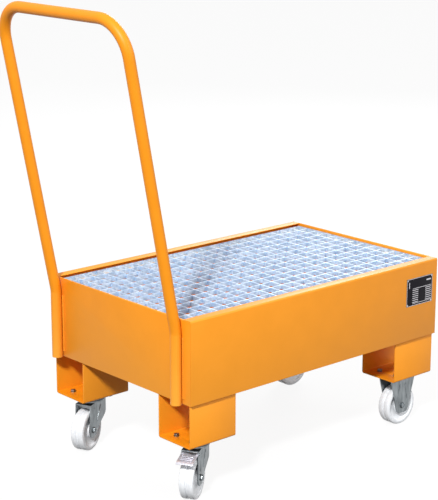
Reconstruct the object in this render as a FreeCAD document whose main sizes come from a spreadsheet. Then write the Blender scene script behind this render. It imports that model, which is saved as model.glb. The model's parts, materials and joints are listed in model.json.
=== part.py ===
"""Push-handle drum dolly: a welded sump tub with a lift-out grating, on four caster feet.

+Z is up and the floor is z = 0.  The handle stands at the -X end, and -Y is the near side.
The origin lies on the floor under the middle of the outer box, so the tub's middle is moved
along +X by half of the handle's reach.  All lengths are millimetres.
"""
import FreeCAD, Part
import Sketcher
import math
import os
import re

from FreeCAD import Placement, Rotation, Vector

SIZES = {
    # tub of folded and welded sheet
    "tub_length": 1200, "tub_width": 765, "tub_height": 290, "tub_sheet": 3,
    "rim_flange": 38, "rim_bend": 6,
    # four U-section feet
    "foot_length": 200, "foot_width": 164, "foot_height": 155, "foot_sheet": 5, "foot_bend": 8,
    "foot_inset_end": 5, "foot_inset_side": 10,
    # lift-out grating and the ledges it lies on
    "grating_depth": 16, "grating_drop": 10, "grating_gap": 4, "grating_pitch": 54,
    "bearing_bar": 3, "cross_bar": 3, "frame_bar": 3,
    "ledge_bearing": 22, "ledge_leg": 40, "ledge_sheet": 4, "ledge_bend": 6,
    # push handle of one bent tube
    "handle_tube": 38, "handle_wall": 2.5, "handle_height": 1638, "handle_lean": 11,
    "handle_bend_drop": 43, "handle_inset": 54, "handle_lower_bend": 70, "handle_upper_bend": 118,
    "weld_leg": 5, "weld_root": 3, "weld_short": 20,
    # data plate
    "plate_long": 140, "plate_tall": 105, "plate_sheet": 0.8, "plate_inset": 25, "plate_drop": 54,
    "rivet_head": 5, "rivet_rise": 0.8, "rivet_margin": 6,
    # casters, common to all four
    "caster_height": 200, "caster_shift": 5, "wheel_diameter": 150, "wheel_width": 50,
    "tread_round": 5, "tread_groove": 1.5, "web_recess": 7, "rim_depth": 15, "hub_radius": 27,
    "bush_radius": 15, "sleeve_radius": 10, "axle_radius": 6, "running_fit": 0.05,
    "bolt_fit": 0.15, "hub_play": 2, "fork_sheet": 4,
    "pad_length": 140, "pad_width": 110, "pad_sheet": 6,
    "bolts_long": 105, "bolts_wide": 80, "bolt_radius": 5, "bolt_hole": 5.5,
    "bolt_flats": 17, "bolt_head": 6.4, "nut_height": 8.4, "bolt_tail": 2,
    "washer_radius": 10, "washer_sheet": 2, "axle_flats": 19, "axle_head": 7.5,
    # side outline of a fixed fork's legs, half of it
    "fixed_toe_half": 26, "fixed_toe_below": 28, "fixed_waist_half": 36, "fixed_knee_half": 50,
    "fixed_knee_below": 62, "fixed_top_half": 68, "fixed_toe_round": 20,
    # side outline of a swivel fork's legs, from the axle and from the pivot
    "swivel_toe_below": 26, "swivel_toe_back": 20, "swivel_toe_front": 18, "swivel_heel_back": 27,
    "swivel_shin_front": 30, "swivel_shin_below": 4, "swivel_knee_below": 56, "swivel_front": 50,
    "swivel_back": 67, "swivel_toe_round": 16, "swivel_knee_round": 20,
    # swivel head
    "swivel_trail": 47, "near_turn": 32, "far_turn": 25, "crown_radius": 46, "web_level": 171,
    "crown_level": 181, "cup_level": 189, "king_radius": 8, "king_collar": 13, "collar_height": 9,
    "head_play": 0.3, "skirt_play": 1, "ball_ring": 36, "ball_count": 16, "dust_wall": 2,
    # pedal brake on the near swivel caster
    "pedal_pin": 4, "pedal_pin_back": 62, "pedal_pin_level": 163, "pedal_barrel": 7,
    "pedal_reach": 136, "pedal_sheet": 3, "pedal_wide": 62, "pedal_lip": 14, "pedal_tread": 55,
    "pedal_overlap": 6, "pedal_play": 1, "brake_pad_length": 18, "brake_pad_level": 149,
}

doc = FreeCAD.newDocument("drum_dolly")
sheet = doc.addObject("Spreadsheet::Sheet", "size")
for row, (alias, number) in enumerate(SIZES.items(), start=1):
    sheet.set("A%d" % row, alias)
    sheet.set("B%d" % row, str(number))
    sheet.setAlias("B%d" % row, alias)
doc.recompute()

NODES = []

# Levels and places that several pieces share, as formulas of the sheet's sizes.
TUB_BOTTOM = "(caster_height + foot_height)"
TUB_TOP = "(caster_height + foot_height + tub_height)"
BEND_LEVEL = "(%s - handle_bend_drop)" % TUB_TOP
LEAN_RUN = "((handle_height - handle_tube / 2 - %s) * tan(handle_lean))" % BEND_LEVEL
MIDDLE = "((handle_tube + %s) / 2)" % LEAN_RUN
INNER_LENGTH = "(tub_length - 2 * tub_sheet)"
INNER_WIDTH = "(tub_width - 2 * tub_sheet)"
GRATING_TOP = "(%s - grating_drop)" % TUB_TOP
GRATING_SEAT = "(%s - grating_depth)" % GRATING_TOP
GRATING_LONG = "(%s - 2 * grating_gap)" % INNER_LENGTH
GRATING_WIDE = "(tub_width - 2 * rim_flange - 2 * grating_gap)"
SIDE_LEDGE = "(rim_flange - tub_sheet + grating_gap + ledge_bearing)"
FOOT_X = "(tub_length / 2 - foot_inset_end - foot_length / 2)"
FOOT_Y = "(tub_width / 2 - foot_inset_side - foot_width / 2)"
CASTER_X = "(%s + caster_shift)" % FOOT_X
FORK_GAP = "(wheel_width + 2 * hub_play)"
FORK_WIDE = "(%s + 2 * fork_sheet)" % FORK_GAP
AXLE_LEVEL = "(wheel_diameter / 2)"
PAD_BOTTOM = "(caster_height - pad_sheet)"


gauge = doc.addObject("App::FeaturePython", "gauge")
gauge.addProperty("App::PropertyFloat", "Reading")


def size_name(word):
    """A word of a formula, pointed at the sheet if it names a size."""
    found = word.group()
    return "size." + found if found in SIZES else found


def bind(thing, prop, text):
    """Gives a property a formula of the sheet's sizes."""
    thing.setExpression(prop, re.sub(r"[a-z_]+", size_name, str(text)))


def value(text):
    """The number that a formula has now, as the gauge reads it."""
    bind(gauge, "Reading", text)
    gauge.recompute()
    return gauge.Reading


def place(thing, x="0", y="0", z="0", turn=None, axis=Vector(0, 0, 1)):
    """Binds a piece's place, and its turn about one axis in degrees."""
    if turn is not None:
        thing.Placement = Placement(Vector(), Rotation(axis, value(turn) or 1))
        bind(thing, "Placement.Rotation.Angle", turn)
    for name, text in zip("xyz", (x, y, z)):
        bind(thing, "Placement.Base." + name, text)
    return thing


def node(thing, label):
    """Marks a finished sub-part, which is written to a file of this name."""
    thing.Label = label
    NODES.append(thing)
    return thing


# ---------------------------------------------------------------- solids from primitives

def block(name, long, wide, tall, x="0", y="0", z="0"):
    thing = doc.addObject("Part::Box", name)
    for prop, text in (("Length", long), ("Width", wide), ("Height", tall)):
        bind(thing, prop, text)
    return place(thing, x, y, z)


def rod(name, radius, height, x="0", y="0", z="0"):
    thing = doc.addObject("Part::Cylinder", name)
    bind(thing, "Radius", radius)
    bind(thing, "Height", height)
    return place(thing, x, y, z)


def cross_rod(name, radius, height, x="0", y="0", z="0"):
    """A cylinder along +Y."""
    thing = rod(name, radius, height)
    thing.Placement = Placement(Vector(), Rotation(Vector(1, 0, 0), -90))
    return place(thing, x, y, z)


def hexagon(name, flats, height, x="0", y="0", z="0", across=False):
    """A hexagonal prism, upright or along +Y."""
    thing = doc.addObject("Part::Prism", name)
    thing.Polygon = 6
    bind(thing, "Circumradius", "%s / 2 / cos(30)" % flats)
    bind(thing, "Height", height)
    if across:
        thing.Placement = Placement(Vector(), Rotation(Vector(1, 0, 0), -90))
    return place(thing, x, y, z)


def cut(name, base, tool):
    thing = doc.addObject("Part::Cut", name)
    thing.Base = base
    thing.Tool = tool
    return thing


def join(name, *shapes):
    thing = doc.addObject("Part::MultiFuse", name)
    thing.Shapes = list(shapes)
    return thing


def held(name, thing):
    """One placed solid, in a holder that has a place of its own."""
    holder = doc.addObject("Part::Compound", name)
    holder.Links = [thing]
    return holder


def tube(name, outer, inner, height, z):
    """A ring or sleeve standing on z."""
    return cut(name, rod(name + "_outer", outer, height, z=z), rod(name + "_inner", inner, height, z=z))


def cross_tube(name, outer, inner, height, x, y, z):
    """A sleeve along +Y."""
    return cut(name, cross_rod(name + "_outer", outer, height, x, y, z),
               cross_rod(name + "_inner", inner, height, x, y, z))


def spread(name, master, places):
    """Separate copies of one solid, held as a group."""
    doc.recompute()
    copies = []
    for where in places:
        copy = master.Shape.copy()
        copy.Placement = Placement(Vector(*where), Rotation()).multiply(copy.Placement)
        copies.append(copy)
    thing = doc.addObject("Part::Feature", name)
    thing.Shape = Part.makeCompound(copies)
    return thing


# ---------------------------------------------------------------- solids from sketches

def origin_plane(body, role):
    return [item for item in body.Origin.OriginFeatures if item.Role == role][0]


def sketch_on(body, role, lift="0"):
    """A sketch on one of the body's own planes, lifted along that plane's normal."""
    thing = body.newObject("Sketcher::SketchObject", body.Name + "_sketch")
    thing.AttachmentSupport = [(origin_plane(body, role), "")]
    thing.MapMode = "FlatFace"
    bind(thing, "AttachmentOffset.Base.z", lift)
    return thing


def pin_point(sketch, edge, end, corner):
    """Ties one point of a sketch to formulas for its two coordinates."""
    for kind, text in zip(("DistanceX", "DistanceY"), corner):
        number = sketch.addConstraint(Sketcher.Constraint(kind, -1, 1, edge, end, value(text)))
        bind(sketch, "Constraints[%d]" % number, text)


def outline(sketch, corners):
    """A closed outline of straight edges through corners given as formulas."""
    spots = [Vector(value(x), value(y), 0) for x, y in corners]
    first = sketch.GeometryCount
    for here, there in zip(spots, spots[1:] + spots[:1]):
        sketch.addGeometry(Part.LineSegment(here, there), False)
    for index in range(len(spots)):
        following = first + (index + 1) % len(spots)
        sketch.addConstraint(Sketcher.Constraint("Coincident", first + index, 2, following, 1))
    for index, corner in enumerate(corners):
        pin_point(sketch, first + index, 1, corner)


def circle(sketch, x, y, radius):
    centre = Vector(value(x), value(y), 0)
    edge = sketch.addGeometry(Part.Circle(centre, Vector(0, 0, 1), value(radius)), False)
    pin_point(sketch, edge, 3, (x, y))
    number = sketch.addConstraint(Sketcher.Constraint("Radius", edge, value(radius)))
    bind(sketch, "Constraints[%d]" % number, radius)


def new_body(name):
    return doc.addObject("PartDesign::Body", name)


def pad(body, sketch, length):
    thing = body.newObject("PartDesign::Pad", body.Name + "_pad")
    thing.Profile = sketch
    bind(thing, "Length", length)
    body.Tip = thing
    doc.recompute()
    return thing


def pocket(body, sketch, length):
    """Cuts from the sketch against its normal, and checks that something was cut."""
    before = body.Shape.Volume
    thing = body.newObject("PartDesign::Pocket", body.Name + "_pocket")
    thing.Profile = sketch
    bind(thing, "Length", length)
    body.Tip = thing
    doc.recompute()
    if not body.Shape.Volume < before - 1:
        raise RuntimeError("nothing was cut from " + body.Name)
    return thing


def turned(body, sketch):
    thing = body.newObject("PartDesign::Revolution", body.Name + "_turned")
    thing.Profile = sketch
    thing.ReferenceAxis = (sketch, ["H_Axis"])
    thing.Angle = 360
    body.Tip = thing
    doc.recompute()
    return thing


def round_edges(body, radius, wanted):
    """Fillets the edges of the body's tip that the test `wanted` picks."""
    tip = body.Tip
    names = ["Edge%d" % number for number, edge in enumerate(tip.Shape.Edges, start=1) if wanted(edge)]
    if not names:
        raise RuntimeError("no edge to round on " + body.Name)
    thing = body.newObject("PartDesign::Fillet", body.Name + "_fillet")
    thing.Base = (tip, names)
    bind(thing, "Radius", radius)
    body.Tip = thing
    doc.recompute()


def along_x_at(*corners):
    """Picks edges that run along X through the given (y, z) corners."""
    spots = [(value(y), value(z)) for y, z in corners]

    def wanted(edge):
        ends = [vertex.Point for vertex in edge.Vertexes]
        return len(ends) == 2 and any(
            all(math.hypot(end.y - y, end.z - z) < 0.01 for end in ends) for y, z in spots)
    return wanted


def along_y_at(*corners):
    """Picks edges that run along Y through the given (x, z) corners."""
    spots = [(value(x), value(z)) for x, z in corners]

    def wanted(edge):
        ends = [vertex.Point for vertex in edge.Vertexes]
        return len(ends) == 2 and any(
            all(math.hypot(end.x - x, end.z - z) < 0.01 for end in ends) for x, z in spots)
    return wanted


def folded_angle(name, tall, wide, thick, bend, length):
    """An L of folded sheet along +X: an upright on y = 0 and a shelf on its top, towards +Y."""
    body = new_body(name)
    face = sketch_on(body, "YZ_Plane")
    inner = ("%s" % thick, "%s - %s" % (tall, thick))
    outline(face, [("0", "0"), ("0", tall), (wide, tall), (wide, inner[1]), inner, (thick, "0")])
    pad(body, face, length)
    round_edges(body, bend, along_x_at(("0", tall)))
    round_edges(body, "%s - %s" % (bend, thick), along_x_at(inner))
    return body


# ---------------------------------------------------------------- tub

def tub():
    left = "%s - tub_length / 2" % MIDDLE
    right = "%s + tub_length / 2" % MIDDLE
    node(block("tub_floor", INNER_LENGTH, INNER_WIDTH, "tub_sheet", "%s + tub_sheet" % left,
               "tub_sheet - tub_width / 2", TUB_BOTTOM), "tub_floor")
    sides = []
    for label, x, y, turn in (("near_side_panel", left, "-tub_width / 2", "0"),
                              ("far_side_panel", right, "tub_width / 2", "180")):
        side = folded_angle(label, "tub_height", "rim_flange", "tub_sheet", "rim_bend", "tub_length")
        place(side, x, y, TUB_BOTTOM, turn)
        sides.append(node(side, label))
    doc.recompute()
    both = join("both_sides", *sides)
    for label, x in (("handle_end_panel", left), ("front_end_panel", "%s - tub_sheet" % right)):
        plain = block(label + "_plain", "tub_sheet", INNER_WIDTH, "tub_height", x,
                      "tub_sheet - tub_width / 2", TUB_BOTTOM)
        node(cut(label, plain, both), label)


def ledges():
    """Angles inside the tub that the grating lies on: two long ones, and two between them."""
    level = "%s - ledge_leg" % GRATING_SEAT
    left = "%s - %s / 2" % (MIDDLE, INNER_LENGTH)
    right = "%s + %s / 2" % (MIDDLE, INNER_LENGTH)
    for label, x, y, turn in (("near_grating_ledge", left, "-%s / 2" % INNER_WIDTH, "0"),
                              ("far_grating_ledge", right, "%s / 2" % INNER_WIDTH, "180")):
        ledge = folded_angle(label, "ledge_leg", SIDE_LEDGE, "ledge_sheet", "ledge_bend", INNER_LENGTH)
        node(place(ledge, x, y, level, turn), label)
    span = "(%s - 2 * %s)" % (INNER_WIDTH, SIDE_LEDGE)
    shelf = "(grating_gap + ledge_bearing)"
    for label, x, y, turn in (("handle_end_ledge", left, "%s / 2" % span, "-90"),
                              ("front_end_ledge", right, "-%s / 2" % span, "90")):
        ledge = folded_angle(label, "ledge_leg", shelf, "ledge_sheet", "ledge_bend", span)
        node(place(ledge, x, y, level, turn), label)


# ---------------------------------------------------------------- feet

def foot(label, end, side):
    """A U of folded plate, open at both ends, with the four holes of its caster."""
    body = new_body(label)
    face = sketch_on(body, "YZ_Plane")
    far = "foot_width - foot_sheet"
    outline(face, [("0", "0"), ("foot_width", "0"), ("foot_width", "foot_height"), (far, "foot_height"),
                   (far, "foot_sheet"), ("foot_sheet", "foot_sheet"), ("foot_sheet", "foot_height"),
                   ("0", "foot_height")])
    pad(body, face, "foot_length")
    round_edges(body, "foot_bend", along_x_at(("0", "0"), ("foot_width", "0")))
    round_edges(body, "foot_bend - foot_sheet",
                along_x_at(("foot_sheet", "foot_sheet"), (far, "foot_sheet")))
    holes = sketch_on(body, "XY_Plane", "foot_sheet * 2")
    pattern_x = "foot_length / 2 + %d * caster_shift" % end
    for lengthways in (-1, 1):
        for across in (-1, 1):
            circle(holes, "%s + %d * bolts_long / 2" % (pattern_x, lengthways),
                   "foot_width / 2 + %d * bolts_wide / 2" % across, "bolt_hole")
    pocket(body, holes, "foot_sheet * 3")
    place(body, "%s + %d * %s - foot_length / 2" % (MIDDLE, end, FOOT_X),
          "%d * %s - foot_width / 2" % (side, FOOT_Y), "caster_height")
    node(body, label)


# ---------------------------------------------------------------- handle

def rounded_path(points, radii):
    """Straight runs through the points, with a tangent arc of the given radius at each turn."""
    edges = []
    start = points[0]
    for before, corner, after, radius in zip(points, points[1:], points[2:], radii):
        inward = (before - corner).normalize()
        outward = (after - corner).normalize()
        half = inward.getAngle(outward) / 2
        reach = radius / math.tan(half)
        bisector = (inward + outward).normalize()
        centre = corner + bisector * (radius / math.sin(half))
        enter = corner + inward * reach
        leave = corner + outward * reach
        edges.append(Part.LineSegment(start, enter).toShape())
        edges.append(Part.Arc(enter, centre - bisector * radius, leave).toShape())
        start = leave
    edges.append(Part.LineSegment(start, points[-1]).toShape())
    return Part.Wire(edges)


def pipe_along(path, start, radius):
    ring = Part.Wire([Part.makeCircle(radius, start, Vector(0, 0, 1))])
    return path.makePipeShell([ring], True, False)


def push_handle():
    """One tube: up the end panel, leaning out above it, and over to the other side."""
    post_x = value("%s - tub_length / 2 - handle_tube / 2" % MIDDLE)
    bar_x = post_x - value(LEAN_RUN)
    post_y = value("tub_width / 2 - handle_inset")
    low = value(TUB_BOTTOM)
    bend = value(BEND_LEVEL)
    top = value("handle_height - handle_tube / 2")
    points = [Vector(post_x, -post_y, low), Vector(post_x, -post_y, bend), Vector(bar_x, -post_y, top),
              Vector(bar_x, post_y, top), Vector(post_x, post_y, bend), Vector(post_x, post_y, low)]
    lower, upper = value("handle_lower_bend"), value("handle_upper_bend")
    path = rounded_path(points, [lower, upper, upper, lower])
    outer = value("handle_tube / 2")
    wall = value("handle_wall")
    thing = doc.addObject("Part::Feature", "push_handle")
    thing.Shape = pipe_along(path, points[0], outer).cut(pipe_along(path, points[0], outer - wall))
    node(thing, "push_handle")


def handle_welds():
    """Two beads down each handle post, in the corners between the tube and the panel."""
    post_x = "%s - tub_length / 2 - handle_tube / 2" % MIDDLE
    run = "(%s - %s - weld_short * 2)" % (BEND_LEVEL, TUB_BOTTOM)
    beads = []
    for side in (-1, 1):
        post_y = "%d * (tub_width / 2 - handle_inset)" % side
        for edge in (-1, 1):
            name = "bead_%d_%d" % (side + 1, edge + 1)
            wide = "(handle_tube / 3 - weld_root)"
            plain = block(name + "_plain", "weld_leg", wide, run,
                          "%s - tub_length / 2 - weld_leg" % MIDDLE,
                          "%s + %d * (weld_root + %s / 2) - %s / 2" % (post_y, edge, wide, wide),
                          "%s + weld_short" % TUB_BOTTOM)
            post = rod(name + "_post", "handle_tube / 2", "%s + 2 * weld_short" % run, post_x, post_y,
                       TUB_BOTTOM)
            beads.append(cut(name, plain, post))
    thing = doc.addObject("Part::Compound", "handle_welds")
    thing.Links = beads
    node(thing, "handle_welds")


def data_plate():
    """A blank-faced plate riveted to the near side, by the front end."""
    x = "%s + tub_length / 2 - plate_inset - plate_long" % MIDDLE
    z = "%s - plate_drop - plate_tall" % TUB_TOP
    node(block("data_plate", "plate_long", "plate_sheet", "plate_tall", x,
               "-tub_width / 2 - plate_sheet", z), "data_plate")
    master = cross_rod("rivet_master", "rivet_head / 2", "rivet_rise", x,
                       "-tub_width / 2 - plate_sheet - rivet_rise", z)
    edge = value("rivet_margin")
    places = [(dx, 0, dz) for dx in (edge, value("plate_long") - edge)
              for dz in (edge, value("plate_tall") - edge)]
    node(spread("data_plate_rivets", master, places), "data_plate_rivets")


# ---------------------------------------------------------------- grating

def even_places(span, pitch, thick):
    """Even places of bars in a clear span, no further apart than the pitch."""
    spaces = math.ceil((span + thick) / pitch)
    step = (span + thick) / spaces
    return [step * number - thick / 2 for number in range(1, spaces)]


def grating():
    """A frame with bars both ways: cross bars lie in the upper notches of the bearing bars."""
    x = "%s - %s / 2" % (MIDDLE, GRATING_LONG)
    y = "-%s / 2" % GRATING_WIDE
    clear_long = "(%s - 2 * frame_bar)" % GRATING_LONG
    clear_wide = "(%s - 2 * frame_bar)" % GRATING_WIDE
    outer = block("frame_outer", GRATING_LONG, GRATING_WIDE, "grating_depth", x, y, GRATING_SEAT)
    inner = block("frame_inner", clear_long, clear_wide, "grating_depth", "%s + frame_bar" % x,
                  "%s + frame_bar" % y, GRATING_SEAT)
    node(cut("grating_frame", outer, inner), "grating_frame")
    inside_x, inside_y = "%s + frame_bar" % x, "%s + frame_bar" % y
    pitch = value("grating_pitch")
    steps_x = even_places(value(clear_long), pitch, value("bearing_bar"))
    steps_y = even_places(value(clear_wide), pitch, value("cross_bar"))
    bar_places = [(step, 0, 0) for step in steps_x]
    cross_places = [(0, step, 0) for step in steps_y]
    bars, crosses = [], []
    for name, height in (("whole", "grating_depth"), ("lower_half", "grating_depth / 2")):
        bar = block("bearing_" + name, "bearing_bar", clear_wide, height,
                    "%s - bearing_bar / 2" % inside_x, inside_y, GRATING_SEAT)
        bars.append(spread("bearing_bars_" + name, bar, bar_places))
    for name, height in (("whole", "grating_depth"), ("upper_half", "grating_depth / 2")):
        cross = block("cross_" + name, clear_long, "cross_bar", height, inside_x,
                      "%s - cross_bar / 2" % inside_y, "%s - %s" % (GRATING_TOP, height))
        crosses.append(spread("cross_bars_" + name, cross, cross_places))
    node(cut("grating_bearing_bars", bars[0], crosses[1]), "grating_bearing_bars")
    node(cut("grating_cross_bars", crosses[0], bars[1]), "grating_cross_bars")


# ---------------------------------------------------------------- casters

class Caster:
    """One caster, drawn about its pivot and then turned and moved to its foot."""

    def __init__(self, label, end, side, trail, turn):
        self.label = label
        self.x = "%s + %d * %s" % (MIDDLE, end, CASTER_X)
        self.y = "%d * %s" % (side, FOOT_Y)
        self.trail = trail
        self.turn = turn

    def add(self, thing, name):
        place(thing, self.x, self.y, "0", self.turn)
        return node(thing, "%s_%s" % (self.label, name))

    def wheel(self):
        """Solid cast wheel: hub, thinner web, rim with rounded shoulders and a centre groove."""
        body = new_body(self.label + "_wheel")
        face = sketch_on(body, "YZ_Plane")
        tread, rim = "wheel_diameter / 2", "(wheel_diameter / 2 - rim_depth)"
        middle = "wheel_width / 2"
        outline(face, [("0", "bush_radius"), ("0", "hub_radius"), ("web_recess", "hub_radius"),
                       ("web_recess", rim), ("0", rim), ("0", tread),
                       (middle + " - tread_groove", tread), (middle, tread + " - tread_groove"),
                       (middle + " + tread_groove", tread), ("wheel_width", tread),
                       ("wheel_width", rim), ("wheel_width - web_recess", rim),
                       ("wheel_width - web_recess", "hub_radius"), ("wheel_width", "hub_radius"),
                       ("wheel_width", "bush_radius")])
        turned(body, face)
        radius, width = value(tread), value("wheel_width")

        def shoulder(edge):
            ring = isinstance(edge.Curve, Part.Circle) and abs(edge.Curve.Radius - radius) < 0.01
            return ring and min(edge.Curve.Center.y, width - edge.Curve.Center.y) < 0.01
        round_edges(body, "tread_round", shoulder)
        turn = self.turn
        place(body, "%s - %s * cos(%s) + wheel_width / 2 * sin(%s)" % (self.x, self.trail, turn, turn),
              "%s - %s * sin(%s) - wheel_width / 2 * cos(%s)" % (self.y, self.trail, turn, turn),
              AXLE_LEVEL, turn)
        node(body, self.label + "_wheel")

    def axle(self):
        """The bush in the wheel, and the sleeve, bolt and nut that the fork holds."""
        x, name = "-%s" % self.trail, self.label
        self.add(cross_tube(name + "_bush", "bush_radius", "sleeve_radius + running_fit", "wheel_width",
                            x, "-wheel_width / 2", AXLE_LEVEL), "bush")
        self.add(cross_tube(name + "_sleeve", "sleeve_radius", "axle_radius + bolt_fit", FORK_GAP,
                            x, "-%s / 2" % FORK_GAP, AXLE_LEVEL), "sleeve")
        tail = "axle_head + bolt_tail"
        shank = cross_rod(name + "_shank", "axle_radius", "%s + %s" % (FORK_WIDE, tail), x,
                          "-%s / 2 - %s" % (FORK_WIDE, tail), AXLE_LEVEL)
        head = hexagon(name + "_head", "axle_flats", "axle_head", x, "%s / 2" % FORK_WIDE, AXLE_LEVEL,
                       True)
        self.add(join(name + "_axle_bolt", shank, head), "axle_bolt")
        nut = hexagon(name + "_nut_plain", "axle_flats", "axle_head", x,
                      "-%s / 2 - axle_head" % FORK_WIDE, AXLE_LEVEL, True)
        bore = cross_rod(name + "_nut_bore", "axle_radius", "axle_head * 3", x,
                         "-%s / 2 - axle_head * 2" % FORK_WIDE, AXLE_LEVEL)
        self.add(cut(name + "_axle_nut", nut, bore), "axle_nut")

    def legs(self, corners, web_bottom, rounded):
        """A fork as one pressed sheet: its side outline over the whole width, opened up inside."""
        body = new_body(self.label + "_fork")
        face = sketch_on(body, "XZ_Plane", "-%s / 2" % FORK_WIDE)
        outline(face, corners)
        pad(body, face, FORK_WIDE)
        for radius, corner in rounded:
            round_edges(body, radius, along_y_at(corner))
        inside = sketch_on(body, "YZ_Plane", "wheel_diameter * 2")
        outline(inside, [("-%s / 2" % FORK_GAP, "0"), ("%s / 2" % FORK_GAP, "0"),
                         ("%s / 2" % FORK_GAP, web_bottom), ("-%s / 2" % FORK_GAP, web_bottom)])
        pocket(body, inside, "wheel_diameter * 4")
        bore = sketch_on(body, "XZ_Plane", FORK_WIDE)
        circle(bore, "-%s" % self.trail, AXLE_LEVEL, "axle_radius + bolt_fit")
        pocket(body, bore, "%s * 2" % FORK_WIDE)
        return body

    def fixed_fork(self):
        """Two tapered legs under a pad, all of one pressed sheet."""
        low = "(%s - fixed_toe_below)" % AXLE_LEVEL
        top = PAD_BOTTOM
        knee = "(%s - fixed_knee_below)" % top
        half = [("fixed_toe_half", low), ("fixed_waist_half", AXLE_LEVEL), ("fixed_knee_half", knee),
                ("fixed_top_half", top)]
        corners = half + [("-" + along, level) for along, level in reversed(half)]
        body = self.legs(corners, "%s - fork_sheet" % top,
                         [("fixed_toe_round", corners[0]), ("fixed_toe_round", corners[-1])])
        pad_face = sketch_on(body, "XY_Plane", PAD_BOTTOM)
        self.pad_outline(pad_face)
        pad(body, pad_face, "pad_sheet")
        self.pad_holes(body)
        self.add(body, "fork")

    def pad_outline(self, face):
        across, along = "pad_width / 2", "pad_length / 2"
        outline(face, [("-" + along, "-" + across), (along, "-" + across), (along, across),
                       ("-" + along, across)])

    def pad_holes(self, body):
        holes = sketch_on(body, "XY_Plane", "caster_height + pad_sheet")
        for lengthways in ("-bolts_long / 2", "bolts_long / 2"):
            for across in ("-bolts_wide / 2", "bolts_wide / 2"):
                circle(holes, lengthways, across, "bolt_hole")
        pocket(body, holes, "pad_sheet * 2 + 1")

    def swivel_head(self):
        """Fixed half of the swivel: pad, race cup with its dust skirt, and the king pin."""
        pad_body = new_body(self.label + "_pad")
        face = sketch_on(pad_body, "XY_Plane", PAD_BOTTOM)
        self.pad_outline(face)
        pad(pad_body, face, "pad_sheet")
        self.pad_holes(pad_body)
        place(pad_body, self.x, self.y, "0")
        node(pad_body, self.label + "_pad")
        name = self.label
        skirt = "(crown_radius + skirt_play)"
        above = "%s - cup_level" % PAD_BOTTOM
        cup = tube(name + "_cup", "crown_radius", "king_radius * 2", above, "cup_level")
        ring = tube(name + "_skirt", skirt + " + dust_wall", "crown_radius", above, "cup_level")
        lip = tube(name + "_lip", skirt + " + dust_wall", skirt, "cup_level - crown_level", "crown_level")
        self.add(join(name + "_race_cup", cup, ring, lip), "race_cup")
        collar_top = "(web_level - head_play)"
        pin = rod(name + "_pin", "king_radius", "%s - %s + collar_height" % (PAD_BOTTOM, collar_top),
                  z="%s - collar_height" % collar_top)
        collar = rod(name + "_collar", "king_collar", "collar_height",
                     z="%s - collar_height" % collar_top)
        self.add(join(name + "_king_pin", pin, collar), "king_pin")

    def swivel_fork(self, pedal_hole):
        """Turning half of the swivel: fork, crown and the ring of balls on it."""
        low = "(%s - swivel_toe_below)" % AXLE_LEVEL
        web_top = "(web_level + fork_sheet)"
        centre = "-" + self.trail
        corners = [(centre + " - swivel_toe_back", low), (centre + " + swivel_toe_front", low),
                   (centre + " + swivel_shin_front", "%s - swivel_shin_below" % AXLE_LEVEL),
                   ("swivel_front", "web_level - swivel_knee_below"), ("swivel_front", web_top),
                   ("-swivel_back", web_top), (centre + " - swivel_heel_back", AXLE_LEVEL)]
        body = self.legs(corners, "web_level", [("swivel_toe_round", corners[0]),
                                                ("swivel_toe_round", corners[1]),
                                                ("swivel_knee_round", corners[3])])
        crown = sketch_on(body, "XY_Plane", web_top)
        circle(crown, "0", "0", "crown_radius")
        pad(body, crown, "crown_level - %s" % web_top)
        king = sketch_on(body, "XY_Plane", "caster_height")
        circle(king, "0", "0", "king_radius + running_fit")
        pocket(body, king, "caster_height / 2")
        if pedal_hole:
            pin = sketch_on(body, "XZ_Plane", FORK_WIDE)
            circle(pin, "-pedal_pin_back", "pedal_pin_level", "pedal_pin + bolt_fit")
            pocket(body, pin, "%s * 2" % FORK_WIDE)
        self.add(body, "fork")
        radius = "((cup_level - crown_level) / 2 - head_play)"
        ball = doc.addObject("Part::Sphere", self.label + "_ball_master")
        bind(ball, "Radius", radius)
        level = value("(cup_level + crown_level) / 2")
        count = int(value("ball_count"))
        ring = value("ball_ring")
        angles = [2 * math.pi * number / count for number in range(count)]
        spots = [(ring * math.cos(angle), ring * math.sin(angle), level) for angle in angles]
        self.add(spread(self.label + "_balls", ball, spots), "balls")

    def brake(self):
        """A pedal on a cross pin in the fork, with the pad that it presses on the tread."""
        back, level = "-pedal_pin_back", "pedal_pin_level"
        length = "(%s + 2 * bolt_tail)" % FORK_WIDE
        pin = cross_rod("pedal_pin_rod", "pedal_pin", length, back, "-%s / 2" % length, level)
        self.add(held("pedal_pin_held", pin), "brake_pin")
        wide = "(%s - 2 * pedal_play)" % FORK_GAP
        barrel = cross_rod("pedal_barrel_rod", "pedal_barrel", wide, back, "-%s / 2" % wide, level)
        shelf = "(%s - pedal_sheet / 2)" % level
        clear_back = "(pedal_reach - pedal_tread)"
        arm = block("pedal_arm", "%s + pedal_overlap - pedal_pin_back" % clear_back, wide, "pedal_sheet",
                    "-%s - pedal_overlap" % clear_back, "-%s / 2" % wide, shelf)
        tread = block("pedal_tread", "pedal_tread", "pedal_wide", "pedal_sheet",
                      "-pedal_reach", "-pedal_wide / 2", shelf)
        lip = block("pedal_lip_plate", "pedal_sheet", "pedal_wide", "pedal_lip", "-pedal_reach",
                    "-pedal_wide / 2", "%s + pedal_sheet - pedal_lip" % shelf)
        bore = cross_rod("pedal_bore", "pedal_pin + running_fit", "%s * 2" % wide, back, "-%s" % wide,
                         level)
        self.add(cut("pedal_cut", join("pedal_plain", barrel, arm, tread, lip), bore), "brake_pedal")
        pad_wide = "(wheel_width - 2 * tread_round)"
        shoe = block("brake_pad_block", "brake_pad_length", pad_wide, "%s - brake_pad_level" % shelf,
                     "%s - pedal_barrel - brake_pad_length - pedal_play" % back, "-%s / 2" % pad_wide,
                     "brake_pad_level")
        self.add(held("brake_pad_held", shoe), "brake_pad")


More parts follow.
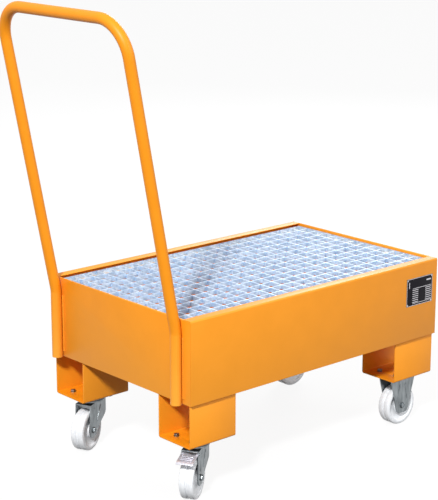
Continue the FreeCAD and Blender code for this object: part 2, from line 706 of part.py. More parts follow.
def casters():
    for side_name, side in (("near", -1), ("far", 1)):
        fixed = Caster(side_name + "_fixed", 1, side, "0", "0")
        fixed.fixed_fork()
        fixed.axle()
        fixed.wheel()
        swivel = Caster(side_name + "_swivel", -1, side, "swivel_trail", side_name + "_turn")
        swivel.swivel_head()
        swivel.swivel_fork(pedal_hole=side_name == "near")
        swivel.axle()
        swivel.wheel()
        if side_name == "near":
            swivel.brake()


def caster_fasteners():
    """Bolts with washers on the feet, and nuts under the caster pads."""
    half_long, half_wide = value("bolts_long / 2"), value("bolts_wide / 2")
    places = []
    for end in (-1, 1):
        for side in (-1, 1):
            centre_x = value("%s + %d * %s" % (MIDDLE, end, CASTER_X))
            centre_y = value("%d * %s" % (side, FOOT_Y))
            for along in (-half_long, half_long):
                for across in (-half_wide, half_wide):
                    places.append((centre_x + along, centre_y + across, 0))
    seat = "(caster_height + foot_sheet)"
    washer = tube("washer_master", "washer_radius", "bolt_hole", "washer_sheet", seat)
    low = "(%s - nut_height - bolt_tail)" % PAD_BOTTOM
    shank = rod("bolt_shank", "bolt_radius", "%s + washer_sheet - %s" % (seat, low), z=low)
    head = hexagon("bolt_head_hex", "bolt_flats", "bolt_head", z="%s + washer_sheet" % seat)
    bolt = join("bolt_master", shank, head)
    nut_bottom = "%s - nut_height" % PAD_BOTTOM
    nut = cut("nut_master", hexagon("nut_hex", "bolt_flats", "nut_height", z=nut_bottom),
              rod("nut_bore", "bolt_radius", "nut_height", z=nut_bottom))
    for label, master in (("caster_bolts", bolt), ("caster_washers", washer), ("caster_nuts", nut)):
        node(spread(label, master, places), label)


# ---------------------------------------------------------------- build, check, write

def check_and_write():
    doc.recompute()
    for thing in doc.Objects:
        if {"Invalid", "Error"} & set(thing.State):
            raise RuntimeError("%s is %s" % (thing.Name, thing.State))
    os.makedirs("parts", exist_ok=True)
    for thing in NODES:
        if thing.Shape.isNull() or not thing.Shape.isValid() or not thing.Shape.Solids:
            raise RuntimeError(thing.Label + " has no valid solid")
    for thing in NODES:
        thing.Shape.exportStep("parts/%s.step" % thing.Label)
    print(len(NODES), "nodes,", sum(len(thing.Shape.Solids) for thing in NODES), "solids")


tub()
ledges()
for end_name, end in (("handle", -1), ("front", 1)):
    for side_name, side in (("near", -1), ("far", 1)):
        foot("%s_%s_foot" % (side_name, end_name), end, side)
push_handle()
handle_welds()
data_plate()
grating()
casters()
caster_fasteners()
check_and_write()
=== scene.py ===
import bmesh
import bpy
import json
import math
from mathutils import Matrix, Vector

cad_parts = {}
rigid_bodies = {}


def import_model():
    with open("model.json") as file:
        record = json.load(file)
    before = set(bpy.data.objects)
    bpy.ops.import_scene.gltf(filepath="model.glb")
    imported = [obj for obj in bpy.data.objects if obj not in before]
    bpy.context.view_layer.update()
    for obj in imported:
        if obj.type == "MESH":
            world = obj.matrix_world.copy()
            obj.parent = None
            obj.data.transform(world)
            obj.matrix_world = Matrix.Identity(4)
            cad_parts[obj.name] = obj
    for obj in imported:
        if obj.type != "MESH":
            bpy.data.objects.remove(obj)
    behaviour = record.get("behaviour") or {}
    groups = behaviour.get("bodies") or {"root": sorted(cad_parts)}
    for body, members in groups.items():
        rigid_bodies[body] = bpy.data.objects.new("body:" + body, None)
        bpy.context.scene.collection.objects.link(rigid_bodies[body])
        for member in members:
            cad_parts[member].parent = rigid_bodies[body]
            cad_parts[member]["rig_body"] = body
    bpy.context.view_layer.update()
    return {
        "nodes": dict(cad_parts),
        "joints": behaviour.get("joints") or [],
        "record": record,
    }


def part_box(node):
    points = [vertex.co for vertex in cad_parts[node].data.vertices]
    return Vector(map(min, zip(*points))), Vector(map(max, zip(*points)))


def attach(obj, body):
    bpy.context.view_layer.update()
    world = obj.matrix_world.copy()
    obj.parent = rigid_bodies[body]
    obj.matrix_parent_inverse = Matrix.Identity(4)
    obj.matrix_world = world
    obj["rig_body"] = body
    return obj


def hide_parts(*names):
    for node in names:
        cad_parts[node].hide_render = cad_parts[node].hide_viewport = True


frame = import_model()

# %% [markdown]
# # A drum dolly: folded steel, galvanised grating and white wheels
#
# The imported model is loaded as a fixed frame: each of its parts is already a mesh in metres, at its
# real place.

MM = 0.001

# %% [markdown]
# ## Materials
#
# A colour is given as an sRGB hex value, but a shader works with linear light, so one
# function turns one into the other.  A second small function adds a node, sets it and links it,
# which keeps each finish below down to the few lines that say something about it.

# %% Colour and node helpers
def linear(hexa):
    """Linear RGBA of an sRGB hex colour such as "#f0972f"."""
    parts = [int(hexa[start:start + 2], 16) / 255 for start in (1, 3, 5)]
    light = [part / 12.92 if part <= 0.04045 else ((part + 0.055) / 1.055) ** 2.4 for part in parts]
    return light + [1.0]


def feed(tree, node, inputs):
    """Sets a node's inputs to values, or links them to sockets or to other nodes' first outputs."""
    for name, given in inputs.items():
        named = [socket for socket in node.inputs if socket.name == name and socket.enabled]
        socket = named[0] if named else node.inputs[name]
        if isinstance(given, bpy.types.Node):
            given = [output for output in given.outputs if output.enabled][0]
        if isinstance(given, bpy.types.NodeSocket):
            tree.links.new(given, socket)
        else:
            socket.default_value = given


def add_node(tree, kind, inputs, **settings):
    """Adds a node: the settings are its own properties, and the inputs are fed."""
    made = tree.nodes.new(kind)
    for name, setting in settings.items():
        setattr(made, name, setting)
    feed(tree, made, inputs)
    return made


def new_material(name, **shader_inputs):
    """A material with a Principled shader set up, its tree, and its Object coordinates."""
    material = bpy.data.materials.new(name)
    material.use_nodes = True
    tree = material.node_tree
    shader = tree.nodes["Principled BSDF"]
    for socket, given in shader_inputs.items():
        shader.inputs[socket.replace("_", " ")].default_value = given
    place = add_node(tree, "ShaderNodeTexCoord", {}).outputs["Object"]
    return material, tree, shader, place


def cells_per_metre(millimetres):
    """The texture scale whose pattern repeats about every so many millimetres."""
    return 1 / (millimetres * MM)

# %% [markdown]
# ### Powder coat
#
# The tub, feet and handle are steel that was sprayed with charged polyester powder and baked.  The
# powder melts into a skin that isn't quite level, which is called orange peel: the highlights stay
# soft.  Colour hardly varies, only by the thickness of the film, so the mottle is very faint.  Outside
# edges, which Pointiness finds, are painted a shade lighter: a painted highlight along the edges.
# Real orange peel has waves of one to three millimetres.  They are drawn at 6 mm so that they show.

# %% Powder coat
def powder_coat():
    material, tree, shader, place = new_material("orange_yellow_powder_coat", IOR=1.5,
                                                 Specular_IOR_Level=0.3)
    film = add_node(tree, "ShaderNodeTexNoise", {"Vector": place, "Scale": cells_per_metre(90),
                                                 "Detail": 3.0})
    thick = add_node(tree, "ShaderNodeMapRange", {"Value": film, "From Min": 0.35, "From Max": 0.65})
    tone = add_node(tree, "ShaderNodeMix", {"Factor": thick, "A": linear("#eb8f12"),
                                            "B": linear("#f09318")}, data_type="RGBA")
    # Pointiness finds the outside edges, and these get a lighter orange: a painted highlight.
    corners = add_node(tree, "ShaderNodeNewGeometry", {}).outputs["Pointiness"]
    edge_highlight = add_node(tree, "ShaderNodeMapRange", {"Value": corners, "From Min": 0.53, "From Max": 0.62})
    edge = add_node(tree, "ShaderNodeMix", {"Factor": edge_highlight, "A": tone, "B": linear("#f8a83c")},
                    data_type="RGBA")
    gloss = add_node(tree, "ShaderNodeMapRange", {"Value": film, "To Min": 0.4, "To Max": 0.5})
    peel = add_node(tree, "ShaderNodeTexNoise", {"Vector": place, "Scale": cells_per_metre(6),
                                                 "Detail": 2.0})
    relief = add_node(tree, "ShaderNodeBump", {"Height": peel, "Distance": 0.06 * MM, "Strength": 1.0})
    feed(tree, shader, {"Base Color": edge, "Roughness": gloss, "Normal": relief})
    return material

# %% [markdown]
# ### Hot-dip galvanised steel
#
# The grating was dipped in molten zinc, which froze in crystals some 10 mm across, called spangle.
# Each crystal reflects a little differently, so a Voronoi pattern sets both tone and roughness.
# Weathered zinc has a dull skin of oxide over the metal, so the shader is only partly metallic.

# %% Galvanised steel
def galvanised():
    material, tree, shader, place = new_material("hot_dip_galvanised_steel", Metallic=0.3)
    crystal = add_node(tree, "ShaderNodeTexVoronoi", {"Vector": place, "Scale": cells_per_metre(11)})
    cloud = add_node(tree, "ShaderNodeTexNoise", {"Vector": place, "Scale": cells_per_metre(40),
                                                  "Detail": 4.0})
    grey = add_node(tree, "ShaderNodeSeparateColor", {"Color": crystal.outputs["Color"]})
    both = add_node(tree, "ShaderNodeMath", {0: grey, 1: cloud}, operation="ADD")
    half = add_node(tree, "ShaderNodeMath", {0: both, 1: 0.5}, operation="MULTIPLY")
    share = add_node(tree, "ShaderNodeMapRange", {"Value": half, "From Min": 0.2, "From Max": 0.8})
    tone = add_node(tree, "ShaderNodeMix", {"Factor": share, "A": linear("#a2c1e0"),
                                            "B": linear("#d2e7fb")}, data_type="RGBA")
    gloss = add_node(tree, "ShaderNodeMapRange", {"Value": grey, "To Min": 0.34, "To Max": 0.52})
    relief = add_node(tree, "ShaderNodeBump", {"Height": cloud, "Distance": 0.25 * MM, "Strength": 1.0})
    feed(tree, shader, {"Base Color": tone, "Roughness": gloss, "Normal": relief})
    return material

# %% [markdown]
# ### Bright zinc plate
#
# Forks, bolts and nuts were pressed or turned and then plated with zinc a few thousandths of a
# millimetre thick.  It keeps the faint lines of the sheet below it, so a stretched noise is enough.
# The real lines are finer than a millimetre and are drawn far coarser, so that they show.  The
# tone, the gloss and the relief of a finish all follow the one grain.

# %% Zinc plate, bearing steel and aluminium
def grained(tree, shader, grain, dark, light, roughness, roughness_swing):
    """Drives a shader's colour, roughness and relief from one noise."""
    share = add_node(tree, "ShaderNodeMapRange", {"Value": grain, "From Min": 0.3, "From Max": 0.7})
    tone = add_node(tree, "ShaderNodeMix", {"Factor": share, "A": linear(dark), "B": linear(light)},
                    data_type="RGBA")
    gloss = add_node(tree, "ShaderNodeMapRange", {"Value": grain, "To Min": roughness - roughness_swing,
                                                  "To Max": roughness + roughness_swing})
    relief = add_node(tree, "ShaderNodeBump", {"Height": grain, "Distance": 0.05 * MM, "Strength": 1.0})
    feed(tree, shader, {"Base Color": tone, "Roughness": gloss, "Normal": relief})


def plated(name, dark, light, roughness, grain_mm, metallic=1.0):
    material, tree, shader, place = new_material(name, Metallic=metallic)
    drawn = add_node(tree, "ShaderNodeMapping", {"Vector": place, "Scale": (1.0, 1.0, 0.25)})
    grain = add_node(tree, "ShaderNodeTexNoise", {"Vector": drawn, "Scale": cells_per_metre(grain_mm),
                                                  "Detail": 4.0})
    grained(tree, shader, grain, dark, light, roughness, 0.08)
    return material

# %% [markdown]
# ### Cast polyamide, rubber and black plastic
#
# The wheels are solid white polyamide, a slightly waxy plastic that light enters a little way, so it
# gets a trace of subsurface scattering.  Moulded parts have a fine, even skin, which is drawn
# coarser than it is, because at its real size it wouldn't show.

# %% Plastics
SKIN_MM = 12


def moulded(name, dark, light, roughness, scatter_mm=0.0, specular=0.5):
    material, tree, shader, place = new_material(name, IOR=1.5, Specular_IOR_Level=specular)
    if scatter_mm:
        shader.inputs["Subsurface Weight"].default_value = 0.15
        shader.inputs["Subsurface Radius"].default_value = [scatter_mm * MM] * 3
    skin = add_node(tree, "ShaderNodeTexNoise", {"Vector": place, "Scale": cells_per_metre(SKIN_MM),
                                                 "Detail": 3.0})
    grained(tree, shader, skin, dark, light, roughness, 0.05)
    return material

# %% Every finish, by the slot that the record gives its parts
FINISHES = {
    "yellow_paint": powder_coat(),
    "galvanised": galvanised(),
    "zinc": plated("bright_zinc_plated_steel", "#6f7477", "#9da3a6", 0.38, 14),
    "bearing_steel": plated("ground_bearing_steel", "#8d9093", "#b3b6b8", 0.22, 3),
    "rivet_alloy": plated("plain_aluminium", "#c3c5c7", "#dddfe0", 0.3, 4),
    "polyamide": moulded("cast_white_polyamide", "#e6e9ed", "#f1f3f6", 0.34, 1.0),
    "bush_plastic": moulded("moulded_black_plastic", "#17171a", "#232326", 0.45),
    "brake_rubber": moulded("moulded_black_rubber", "#131313", "#1f1f1f", 0.7),
    "plate_film": moulded("printed_black_film", "#0c0a10", "#151219", 0.5, specular=0.12),
}
DARK_ZINC = plated("oiled_zinc_plated_steel", "#3f4344", "#62686b", 0.42, 10)
PLATE_INK = moulded("silver_grey_plate_ink", "#c6c4c8", "#d8d6da", 0.45)
BRIGHT_PEDAL = plated("burnished_zinc_plate", "#c4c3cc", "#e6e5ee", 0.34, 8, 0.55)
slot_of = {part["node"]: part["material_slot"] for part in frame["record"]["subparts"]}
for name, thing in frame["nodes"].items():
    thing.data.materials.clear()
    thing.data.materials.append(FINISHES[slot_of[name]])
for side in ("near", "far"):
    for name in ("race_cup", "pad"):
        frame["nodes"]["%s_swivel_%s" % (side, name)].data.materials[0] = DARK_ZINC
print(len(slot_of), "parts painted in", len(FINISHES), "finishes")

# %% [markdown]
# ## Sheet metal with broken edges
#
# No real edge is perfectly sharp: sheared sheet has a small burr rounded off, and paint rounds it
# further.  That fine edge is what catches the light, so each sheet part is copied, its triangles
# are merged back into whole faces, and a narrow bevel is cut along every edge that turns sharply.
# The copy takes the place of the plain part in the visual model only.

# %% Helpers that finish a piece
SMOOTH_BELOW = math.radians(32)


def finish_piece(name, shape, slot, body, replaced=(), finish=None):
    """Makes an object of a bmesh, which rides on a body and may stand for CAD parts."""
    mesh = bpy.data.meshes.new(name)
    for face in shape.faces:
        face.smooth = True
    shape.to_mesh(mesh)
    shape.free()
    mesh.set_sharp_from_angle(angle=SMOOTH_BELOW)
    mesh.materials.append(finish or FINISHES[slot])
    thing = bpy.data.objects.new(name, mesh)
    bpy.context.collection.objects.link(thing)
    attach(thing, body)
    for part in replaced:
        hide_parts(part)
    print(name, len(mesh.polygons), "faces")
    return thing


def bevel_sharp(shape, millimetres, segments=2, degrees=30):
    """Rounds every edge that turns by more than so many degrees."""
    sharp = [edge for edge in shape.edges
             if len(edge.link_faces) == 2 and edge.calc_face_angle() > math.radians(degrees)]
    bmesh.ops.bevel(shape, geom=sharp, offset=millimetres * MM, offset_type="OFFSET", affect="EDGES",
                    segments=segments, profile=0.5, material=-1, clamp_overlap=True)


def broken_edges(node, millimetres):
    """A copy of a CAD part with its edges rounded, in the part's own finish."""
    plain = frame["nodes"][node]
    shape = bmesh.new()
    shape.from_mesh(plain.data)
    bmesh.ops.remove_doubles(shape, verts=shape.verts, dist=0.01 * MM)
    bmesh.ops.dissolve_limit(shape, angle_limit=math.radians(0.5), verts=shape.verts, edges=shape.edges)
    bevel_sharp(shape, millimetres)
    finish_piece(node + "_finished", shape, slot_of[node], plain["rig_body"], [node],
                 plain.data.materials[0])

# %% Tub, feet and caster parts
SHEET_EDGE_MM, PLATE_EDGE_MM = 0.9, 0.3
SHEET_PARTS = ("_foot", "_panel", "_fork", "_pad", "_axle_nut", "_race_cup", "data_plate")
for node in slot_of:
    if node.endswith(SHEET_PARTS) and "brake" not in node:
        broken_edges(node, PLATE_EDGE_MM if node == "data_plate" else SHEET_EDGE_MM)

# %% [markdown]
# ## Weld beads
#
# A hand-laid bead is a row of overlapping puddles.  One ring of a few points is extruded along the
# joint, and each new ring is a little larger or smaller than the last, which makes the ripples.

# %% Weld beads
def lay_bead(shape, start, end, radius, ripple):
    """A rippled bead from start to end, with flat caps at its ends, added to a bmesh."""
    swell = 0.86
    run = end - start
    count = max(4, round(run.length / ripple)) * 2
    step = run / count
    turn = run.to_track_quat("Z", "Y").to_matrix().to_4x4()
    ring = bmesh.ops.create_circle(shape, cap_ends=True, segments=8, radius=radius,
                                   matrix=Matrix.Translation(start) @ turn)
    edges = list({edge for vert in ring["verts"] for edge in vert.link_edges})
    for index in range(count):
        grown = bmesh.ops.extrude_edge_only(shape, edges=edges)["geom"]
        verts = [item for item in grown if isinstance(item, bmesh.types.BMVert)]
        edges = [item for item in grown if isinstance(item, bmesh.types.BMEdge)]
        bmesh.ops.translate(shape, verts=verts, vec=step)
        size = swell if index % 2 == 0 else 1 / swell
        middle = start + step * (index + 1)
        bmesh.ops.scale(shape, verts=verts, vec=(size, size, size), space=Matrix.Translation(-middle))
    bmesh.ops.holes_fill(shape, edges=edges)


def weld(name, runs, radius_mm, ripple_mm, replaced=()):
    """One piece of painted beads along the given pairs of ends."""
    shape = bmesh.new()
    for start, end in runs:
        lay_bead(shape, Vector(start), Vector(end), radius_mm * MM, ripple_mm * MM)
    bmesh.ops.recalc_face_normals(shape, faces=shape.faces)
    finish_piece(name, shape, "yellow_paint", "trolley_frame", replaced)


# The tube is 38 mm across and touches the panel, so a bead of radius r that touches both lies
# 2 * sqrt(tube radius * r) to the side of the tube's line.  It is then sunk into the panel by half
# its radius, as a weld melts in.
low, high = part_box("handle_welds")
panel_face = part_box("handle_end_panel")[0].x
TUBE_RADIUS = 19 * MM
POST_BEAD_MM, FOOT_BEAD_MM, RIPPLE_MM = 3.4, 2.2, 5
post_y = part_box("push_handle")[1].y - TUBE_RADIUS
reach = 2 * math.sqrt(TUBE_RADIUS * POST_BEAD_MM * MM)
bead_x = panel_face - 0.5 * POST_BEAD_MM * MM
runs = []
for side in (-1, 1):
    for edge in (-1, 1):
        y = side * post_y + edge * reach
        runs.append(((bead_x, y, low.z), (bead_x, y, high.z)))
weld("handle_post_beads", runs, POST_BEAD_MM, RIPPLE_MM, ["handle_welds"])

# %% Weld beads under the tub
runs = []
tub_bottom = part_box("tub_floor")[0].z
for end in ("handle", "front"):
    for side in ("near", "far"):
        low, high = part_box("%s_%s_foot" % (side, end))
        for y in (low.y, high.y):
            runs.append(((low.x, y, tub_bottom - MM), (high.x, y, tub_bottom - MM)))
weld("foot_beads", runs, FOOT_BEAD_MM, RIPPLE_MM)

# %% [markdown]
# ## Wheels
#
# Each wheel is cast in one piece: a broad rim with a shallow groove round the middle of the tread, a
# thinner web and a hub.  Half of its cross-section is written as a few points, from the hub's face out
# to the tread, and mirrored.  Spinning that closed outline once round the axle makes the wheel, and
# a bevel rounds its corners as the mould does.

# %% Wheels
joint_of = {joint["name"]: joint for joint in frame["joints"]}


def spun(outline, centre, axis, steps=96):
    """Spins a closed outline of (distance along the axis, radius) points, in millimetres."""
    shape = bmesh.new()
    side = axis.orthogonal().normalized()
    corners = [shape.verts.new(centre + axis * along * MM + side * radius * MM)
               for along, radius in outline]
    edges = [shape.edges.new(pair) for pair in zip(corners, corners[1:] + corners[:1])]
    bmesh.ops.spin(shape, geom=corners + edges, cent=centre, axis=axis, angle=2 * math.pi, steps=steps,
                   use_merge=True)
    bmesh.ops.remove_doubles(shape, verts=shape.verts, dist=0.001 * MM)
    bmesh.ops.recalc_face_normals(shape, faces=shape.faces)
    return shape


low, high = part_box("near_fixed_wheel")
TREAD, HALF = (high.z - low.z) / 2 / MM, (high.y - low.y) / 2 / MM
half_outline = [(HALF, 15), (HALF, 25), (HALF - 2, 27), (HALF - 7.5, 29), (HALF - 9, 33), (HALF - 8, 52),
                (HALF - 6, 57), (HALF - 1.5, 59), (HALF, 61), (HALF, TREAD - 6), (HALF - 2, TREAD - 2),
                (HALF - 6, TREAD), (4.5, TREAD), (1.8, TREAD - 5.5)]
wheel_outline = half_outline + [(-along, radius) for along, radius in reversed(half_outline)]
for label in ("near_fixed", "far_fixed", "near_swivel", "far_swivel"):
    node = label + "_wheel"
    low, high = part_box(node)
    axis = Vector(joint_of[label + "_wheel_spin"]["axis"])
    shape = spun(wheel_outline, (low + high) / 2, axis)
    bevel_sharp(shape, 0.8, degrees=35)
    finish_piece(label + "_cast_wheel", shape, "polyamide", label + "_wheel_body", [node])

# %% [markdown]
# ## Pressed ribs on the forks
#
# A fork is stamped from sheet, and a rib pressed down each leg keeps it from bending.  From outside
# it stands proud by about the sheet's thickness.  A block is scaled long and thin, its corners are
# bevelled round, and it is sunk halfway into the leg.

# %% Fork ribs
def fitted_block(shape, size_mm, place, bevel_mm, segments=3):
    """A block of the given size with rounded edges, set with a matrix and added to a bmesh."""
    size = Matrix.Diagonal(Vector(size_mm) * MM).to_4x4()
    cube = bmesh.ops.create_cube(shape, size=1.0, matrix=place @ size)
    edges = list({edge for vert in cube["verts"] for edge in vert.link_edges})
    bmesh.ops.bevel(shape, geom=edges, offset=bevel_mm * MM, offset_type="OFFSET", affect="EDGES",
                    segments=segments, profile=0.5, material=-1, clamp_overlap=True)


def caster_place(label):
    """The caster's own place: its pivot on the floor, with its wheel's axle along Y."""
    axis = Vector(joint_of[label + "_wheel_spin"]["axis"])
    if "swivel" in label:
        x, y, _ = joint_of[label.split("_")[0] + "_caster_swivel"]["pos_m"]
    else:
        x, y, _ = joint_of[label + "_wheel_spin"]["pos_m"]
    turn = math.atan2(-axis.x, axis.y)
    return Matrix.Translation((x, y, 0)) @ Matrix.Rotation(turn, 4, "Z")


# For each kind of fork: every rib's place along the caster with its lean in degrees, and their length.
RIB_WIDE, RIB_PROUD, RIB_LEVEL = 8, 3.4, 128
RIBS = {"fixed": (((-21, 14), (21, -14)), 66), "swivel": (((-43, 9), (-4, 30)), 60)}
pivot_y = joint_of["near_fixed_wheel_spin"]["pos_m"][1]
LEG_FACE = (pivot_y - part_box("near_fixed_axle_nut")[1].y) / MM
print("the legs' faces lie", round(LEG_FACE, 2), "mm from the caster's middle")
for label in ("near_fixed", "far_fixed", "near_swivel", "far_swivel"):
    kind = label.split("_")[1]
    ribs, rib_long = RIBS[kind]
    shape = bmesh.new()
    for side in (-1, 1):
        for along, lean in ribs:
            spot = Matrix.Translation(Vector((along, side * LEG_FACE, RIB_LEVEL)) * MM)
            place = caster_place(label) @ spot @ Matrix.Rotation(math.radians(lean), 4, "Y")
            fitted_block(shape, (RIB_WIDE, RIB_PROUD, rib_long), place, 1.6)
    body = "trolley_frame" if kind == "fixed" else label + "_body"
    finish_piece(label + "_fork_ribs", shape, "zinc", body)

# %% [markdown]
# ## Brake pedal
#
# The pedal is one bent sheet: it leaves its pin level, dips, and ends in a lip that the foot pushes.
# A strip of straight runs is extruded sideways, the folds are rounded by bevelling them, and
# Solidify's operator gives the sheet its thickness.  Three pressed ridges keep a shoe from slipping.

# %% Brake pedal
def bent_sheet(profile_mm, width_mm, thick_mm, fold_mm, place):
    """A folded strip: its side view in millimetres as (x, z) points, centred on y = 0."""
    shape = bmesh.new()
    spots = [shape.verts.new(Vector((x, -width_mm / 2, z)) * MM) for x, z in profile_mm]
    edges = [shape.edges.new(pair) for pair in zip(spots, spots[1:])]
    grown = bmesh.ops.extrude_edge_only(shape, edges=edges)["geom"]
    moved = [item for item in grown if isinstance(item, bmesh.types.BMVert)]
    bmesh.ops.translate(shape, verts=moved, vec=(0, width_mm * MM, 0))
    folds = [edge for edge in shape.edges if len(edge.link_faces) == 2]
    bmesh.ops.bevel(shape, geom=folds, offset=fold_mm * MM, offset_type="OFFSET", affect="EDGES",
                    segments=4, profile=0.5, material=-1, clamp_overlap=True)
    bmesh.ops.recalc_face_normals(shape, faces=shape.faces)
    bmesh.ops.solidify(shape, geom=shape.faces, thickness=thick_mm * MM)
    bmesh.ops.recalc_face_normals(shape, faces=shape.faces)
    bmesh.ops.transform(shape, matrix=place, verts=shape.verts)
    return shape


PEDAL_SIDE = [(-58, 166), (-78, 165), (-88, 163), (-126, 157), (-134, 151)]
PEDAL_WIDE, PEDAL_SHEET, PEDAL_FOLD = 60, 3, 4
RIDGES, FIRST_RIDGE_LEVEL, TREAD_SLOPE = (-97, -107, -117), 164.8, 0.158
RIDGE_SIZE = (3, 40, 2.2)
EAR_PLACE, EAR_SIZE = (-66, 24.5, 162), (26, 3, 13)
pedal_place = caster_place("near_swivel")
shape = bent_sheet(PEDAL_SIDE, PEDAL_WIDE, PEDAL_SHEET, PEDAL_FOLD, pedal_place)
for along in RIDGES:
    level = FIRST_RIDGE_LEVEL + (along - RIDGES[0]) * TREAD_SLOPE
    spot = Matrix.Translation(Vector((along, 0, level)) * MM)
    fitted_block(shape, RIDGE_SIZE, pedal_place @ spot, 0.8)
for side in (-1, 1):
    ear = Vector((EAR_PLACE[0], side * EAR_PLACE[1], EAR_PLACE[2])) * MM
    fitted_block(shape, EAR_SIZE, pedal_place @ Matrix.Translation(ear), 1)
bevel_sharp(shape, 0.7, degrees=50)
finish_piece("pressed_brake_pedal", shape, "zinc", "brake_pedal_body", ["near_swivel_brake_pedal"],
             BRIGHT_PEDAL)

# %% [markdown]
# ## Data plate
#
# The black plate has a thin printed border, a short bar at its head and a small table to fill in.  No
# lettering is drawn.  Ink has a thickness too, so each line is a very flat block on the plate.

# %% Data plate print
low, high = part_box("data_plate")
INK = 0.15
long_mm, tall_mm = (high.x - low.x) / MM, (high.z - low.z) / MM
print("data plate", round(long_mm), "x", round(tall_mm), "mm")


def ink_line(shape, x, z, width, height):
    """A flat block of ink, placed from the plate's lower left corner in millimetres."""
    middle = Vector((low.x + (x + width / 2) * MM, low.y - 0.2 * INK * MM, low.z + (z + height / 2) * MM))
    fitted_block(shape, (width, INK, height), Matrix.Translation(middle), 0.04, 1)


# %% The border, the table's rows and rules, the bar at the head and the upright bar at the left
shape = bmesh.new()
MARGIN, LINE = 0.8, 1.8
for z in (MARGIN, tall_mm - MARGIN - LINE):
    ink_line(shape, MARGIN, z, long_mm - 2 * MARGIN, LINE)
for x in (MARGIN, long_mm - MARGIN - LINE):
    ink_line(shape, x, MARGIN, LINE, tall_mm - 2 * MARGIN)
TABLE_LEFT, TABLE_RIGHT, TABLE_LOW, ROWS, ROW = 32, 133, 12, 7, 7.6
CELL_LONG, CELL_TALL, RULE = 31, 2.6, 1.8
for row in range(ROWS):
    for x in (TABLE_LEFT, TABLE_RIGHT - CELL_LONG):
        ink_line(shape, x, TABLE_LOW + row * ROW, CELL_LONG, CELL_TALL)
for z in (TABLE_LOW - 4, TABLE_LOW + ROWS * ROW - 1):
    ink_line(shape, TABLE_LEFT, z, TABLE_RIGHT - TABLE_LEFT, RULE)
ink_line(shape, TABLE_RIGHT - 26, tall_mm - 20, 24, 5)
ink_line(shape, 12, tall_mm - 36, 4, 22)
finish_piece("data_plate_print", shape, "plate_film", "trolley_frame", finish=PLATE_INK)

# %% [markdown]
# ## Domed rivets
#
# A pop rivet's head is a shallow dome with a small hole where its pin broke off.  Its cross-section
# is spun like the wheels, once for each rivet.

# %% Rivets
low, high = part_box("data_plate_rivets")
RIVET_RADIUS = 2.5
rise = (high.y - low.y) / MM
dome_outline = [(0, 0.01), (0, RIVET_RADIUS), (-0.35 * rise, RIVET_RADIUS), (-0.8 * rise, 1.8),
                (-rise, 1.0), (-rise, 0.8), (-0.5 * rise, 0.7), (-0.5 * rise, 0.01)]
shape = bmesh.new()
for x in (low.x + RIVET_RADIUS * MM, high.x - RIVET_RADIUS * MM):
    for z in (low.z + RIVET_RADIUS * MM, high.z - RIVET_RADIUS * MM):
        dome = spun(dome_outline, Vector((x, high.y, z)), Vector((0, 1, 0)), 24)
        one_dome = bpy.data.meshes.new("dome")
        dome.to_mesh(one_dome)
        dome.free()
        shape.from_mesh(one_dome)
        bpy.data.meshes.remove(one_dome)
finish_piece("plate_rivets", shape, "rivet_alloy", "trolley_frame", ["data_plate_rivets"])

# %% [markdown]
# ## Bolt heads with a chamfer
#
# A forged hexagon head has its top corners turned off.  The bevel on the copies of the caster bolts
# and nuts stands for that chamfer.

# %% Bolts and nuts
CHAMFER_MM = 0.7
for node in ("caster_bolts", "caster_nuts", "near_fixed_axle_bolt", "far_fixed_axle_bolt",
             "near_swivel_axle_bolt", "far_swivel_axle_bolt"):
    broken_edges(node, CHAMFER_MM)

# %% [markdown]
# ## Camera, floor and light
#
# The camera looks down on the near corner of the handle end from the height of a standing person
# some steps away, through a long lens.

# %% Camera
CAMERA_PLACE = Vector((-3.621, -4.058, 2.156))
CAMERA_HEADING = math.radians(41.41)
CAMERA_PITCH = math.radians(-14.57)
camera_data = bpy.data.cameras.new("camera")
camera_data.lens = 113.5
camera_data.sensor_width = 36.0
camera_data.shift_x = 0.0084
camera_data.shift_y = -0.0094
camera = bpy.data.objects.new("camera", camera_data)
camera.location = CAMERA_PLACE
camera.rotation_euler = (math.radians(90) + CAMERA_PITCH, 0, -CAMERA_HEADING)
bpy.context.collection.objects.link(camera)
bpy.context.scene.camera = camera
print("camera", camera_data.lens, "mm lens,", round(CAMERA_PLACE.length, 2), "m from the origin")

# %% [markdown]
# The floor and the world are white to the camera, and to reflections, and darker to the light that
# bounces about.  The object then stands on a white ground without that ground lighting it from below.

# %% What the camera sees as background
def seen_directly(tree):
    """1 on rays that show a background, straight or by way of a reflection or glass, and 0 on others."""
    path = add_node(tree, "ShaderNodeLightPath", {})
    first = add_node(tree, "ShaderNodeMath", {0: path.outputs["Is Camera Ray"],
                                              1: path.outputs["Is Glossy Ray"]}, operation="MAXIMUM")
    return add_node(tree, "ShaderNodeMath", {0: first, 1: path.outputs["Is Transmission Ray"]},
                    operation="MAXIMUM")

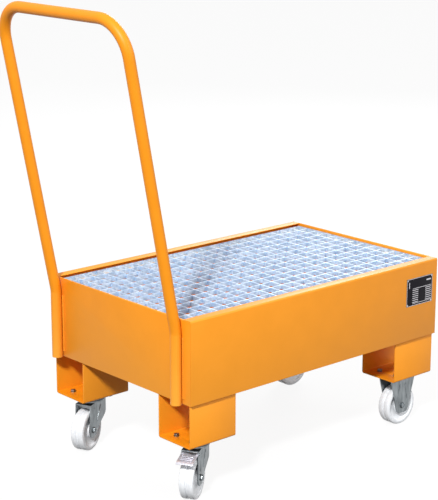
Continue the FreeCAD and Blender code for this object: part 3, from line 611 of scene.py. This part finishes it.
# %% Floor
FLOOR_HALF = 30
FLOOR_GLOW = 0.9
floor_material, tree, shader, _ = new_material("pale_studio_floor", Roughness=0.9)
seen = seen_directly(tree)
tone = add_node(tree, "ShaderNodeMix", {"Factor": seen, "A": linear("#464646"), "B": linear("#ffffff")},
                data_type="RGBA")
feed(tree, shader, {"Base Color": tone})
glow = add_node(tree, "ShaderNodeEmission", {"Color": linear("#ffffff"), "Strength": 1.0})
share = add_node(tree, "ShaderNodeMath", {0: seen, 1: FLOOR_GLOW}, operation="MULTIPLY")
mixed = add_node(tree, "ShaderNodeMixShader", {0: share, 1: shader, 2: glow})
feed(tree, tree.nodes["Material Output"], {"Surface": mixed})
floor_mesh = bpy.data.meshes.new("floor")
shape = bmesh.new()
bmesh.ops.create_grid(shape, x_segments=1, y_segments=1, size=FLOOR_HALF)
shape.to_mesh(floor_mesh)
shape.free()
floor_mesh.materials.append(floor_material)
floor = bpy.data.objects.new("floor", floor_mesh)
bpy.context.collection.objects.link(floor)
print("floor", 2 * FLOOR_HALF, "m across")

# %% [markdown]
# A key light from the handle's side makes the short, crisp shadows under the tub.  A wide fill from
# the front keeps the long side near the key's level, and a soft one from behind lights the far end.

# %% Lights
AIMED_AT = Vector((0, 0, 0.5))


def area_light(name, size, power, place):
    """A round white lamp of the given size in metres and power in watts, aimed at the tub."""
    data = bpy.data.lights.new(name, "AREA")
    data.shape = "DISK"
    data.size = size
    data.energy = power
    lamp = bpy.data.objects.new(name, data)
    lamp.location = place
    lamp.rotation_euler = (AIMED_AT - Vector(place)).to_track_quat("-Z", "Y").to_euler()
    bpy.context.collection.objects.link(lamp)
    print(name, power, "W")


area_light("key", 1.2, 1200, (-7.2, -4.8, 7.2))
area_light("fill", 6.0, 330, (3.6, -8.4, 4.8))
area_light("back", 3.0, 210, (5.2, 3.8, 3.8))

# %% World
WORLD_LEVEL = 0.48
world = bpy.data.worlds.new("studio")
world.use_nodes = True
bpy.context.scene.world = world
tree = world.node_tree
level = add_node(tree, "ShaderNodeMapRange", {"Value": seen_directly(tree), "To Min": WORLD_LEVEL,
                                              "To Max": 1.0})
feed(tree, tree.nodes["Background"], {"Color": linear("#ffffff"), "Strength": level})
bpy.context.scene.view_settings.view_transform = "Standard"
print("world level", WORLD_LEVEL)
